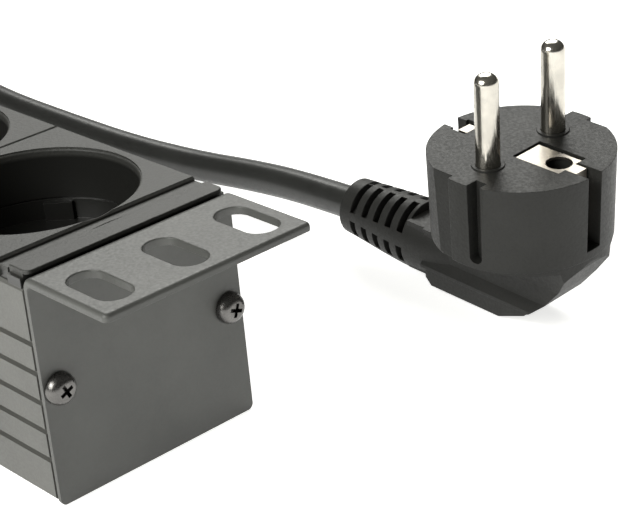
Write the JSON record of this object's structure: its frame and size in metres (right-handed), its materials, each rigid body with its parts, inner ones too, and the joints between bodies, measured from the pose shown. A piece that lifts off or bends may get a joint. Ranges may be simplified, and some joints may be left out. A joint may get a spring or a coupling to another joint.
{
  "type": "rack power strip",
  "caption": "Rack-mount mains power strip: ribbed aluminium channel with round earthed outlets, slotted bent end brackets, and a cord with a moulded angled plug.",
  "frame": {"origin": "centre of the strip, at the foot of its end brackets", "axes": "+X along the strip, away from the cord's end; +Z the way the outlets face; -Y the ribbed side on the viewer's left"},
  "size_m": [0.5899, 0.1594, 0.0559],
  "materials": {
    "channel_paint": "black powder coat, satin",
    "bracket_paint": "black powder coat, satin",
    "screw_metal": "black nickel, polished",
    "cap_plastic": "fine grained black",
    "shutter_plastic": "smooth black",
    "brass": "stamped",
    "nickel_spring": "nickel plated",
    "nickel_pin": "nickel plated, polished",
    "inner_plastic": "natural insulating plastic",
    "zinc_metal": "zinc plated",
    "gland_plastic": "smooth black",
    "cord_sheath": "satin black sheath",
    "tie_strap": "black strap",
    "plug_plastic": "fine satin black moulding",
    "wire_brown": "insulated core",
    "wire_blue": "insulated core",
    "wire_green": "insulated core"
  },
  "bodies": {
    "strip": {"bonding_screw": "zinc_metal", "bracket_screws_left": "screw_metal", "bracket_screws_right": "screw_metal", "bus_insulator": "inner_plastic", "busbar_carrier": "inner_plastic", "clamp_bar": "inner_plastic", "clamp_saddle": "inner_plastic", "clamp_screws": "zinc_metal", "coil_tie": "tie_strap", "cord_coil": "cord_sheath", "cord_entry_module": "cap_plastic", "cord_gland": "gland_plastic", "cord_lead": "cord_sheath", "cord_tail": "cord_sheath", "earth_busbar": "brass", "earth_clips": "nickel_spring", "earth_wire": "wire_green", "end_bracket_left": "bracket_paint", "end_bracket_right": "bracket_paint", "end_insert_left": "cap_plastic", "end_insert_right": "cap_plastic", "gland_nut": "gland_plastic", "housing_profile": "channel_paint", "line_busbar": "brass", "line_wire": "wire_brown", "neutral_busbar": "brass", "neutral_wire": "wire_blue", "plug_body": "plug_plastic", "plug_earth_clips": "nickel_spring", "plug_pins": "nickel_pin", "ring_lugs": "zinc_metal", "sheath_end": "cord_sheath", "socket_module_1": "cap_plastic", "socket_module_2": "cap_plastic", "socket_module_3": "cap_plastic", "socket_module_4": "cap_plastic", "socket_module_5": "cap_plastic", "socket_module_6": "cap_plastic", "socket_module_7": "cap_plastic", "socket_module_8": "cap_plastic", "socket_module_9": "cap_plastic", "terminal_block": "inner_plastic", "terminal_screws": "zinc_metal"},
    "shutter_1": {"pin_shutter_1": "shutter_plastic"},
    "shutter_2": {"pin_shutter_2": "shutter_plastic"},
    "shutter_3": {"pin_shutter_3": "shutter_plastic"},
    "shutter_4": {"pin_shutter_4": "shutter_plastic"},
    "shutter_5": {"pin_shutter_5": "shutter_plastic"},
    "shutter_6": {"pin_shutter_6": "shutter_plastic"},
    "shutter_7": {"pin_shutter_7": "shutter_plastic"},
    "shutter_8": {"pin_shutter_8": "shutter_plastic"},
    "shutter_9": {"pin_shutter_9": "shutter_plastic"}
  },
  "joints": [
    {"name": "shutter_slide_1", "type": "slide", "parent": "strip", "child": "shutter_1", "axis": [0.7071, 0.7071, 0], "range_m": [0, 0.0068], "stiffness_N_per_m": 120, "springref_m": -0.002},
    {"name": "shutter_slide_2", "type": "slide", "parent": "strip", "child": "shutter_2", "axis": [0.7071, 0.7071, 0], "range_m": [0, 0.0068], "stiffness_N_per_m": 120, "springref_m": -0.002},
    {"name": "shutter_slide_3", "type": "slide", "parent": "strip", "child": "shutter_3", "axis": [0.7071, 0.7071, 0], "range_m": [0, 0.0068], "stiffness_N_per_m": 120, "springref_m": -0.002},
    {"name": "shutter_slide_4", "type": "slide", "parent": "strip", "child": "shutter_4", "axis": [0.7071, 0.7071, 0], "range_m": [0, 0.0068], "stiffness_N_per_m": 120, "springref_m": -0.002},
    {"name": "shutter_slide_5", "type": "slide", "parent": "strip", "child": "shutter_5", "axis": [0.7071, 0.7071, 0], "range_m": [0, 0.0068], "stiffness_N_per_m": 120, "springref_m": -0.002},
    {"name": "shutter_slide_6", "type": "slide", "parent": "strip", "child": "shutter_6", "axis": [0.7071, 0.7071, 0], "range_m": [0, 0.0068], "stiffness_N_per_m": 120, "springref_m": -0.002},
    {"name": "shutter_slide_7", "type": "slide", "parent": "strip", "child": "shutter_7", "axis": [0.7071, 0.7071, 0], "range_m": [0, 0.0068], "stiffness_N_per_m": 120, "springref_m": -0.002},
    {"name": "shutter_slide_8", "type": "slide", "parent": "strip", "child": "shutter_8", "axis": [0.7071, 0.7071, 0], "range_m": [0, 0.0068], "stiffness_N_per_m": 120, "springref_m": -0.002},
    {"name": "shutter_slide_9", "type": "slide", "parent": "strip", "child": "shutter_9", "axis": [0.7071, 0.7071, 0], "range_m": [0, 0.0068], "stiffness_N_per_m": 120, "springref_m": -0.002}
  ]
}
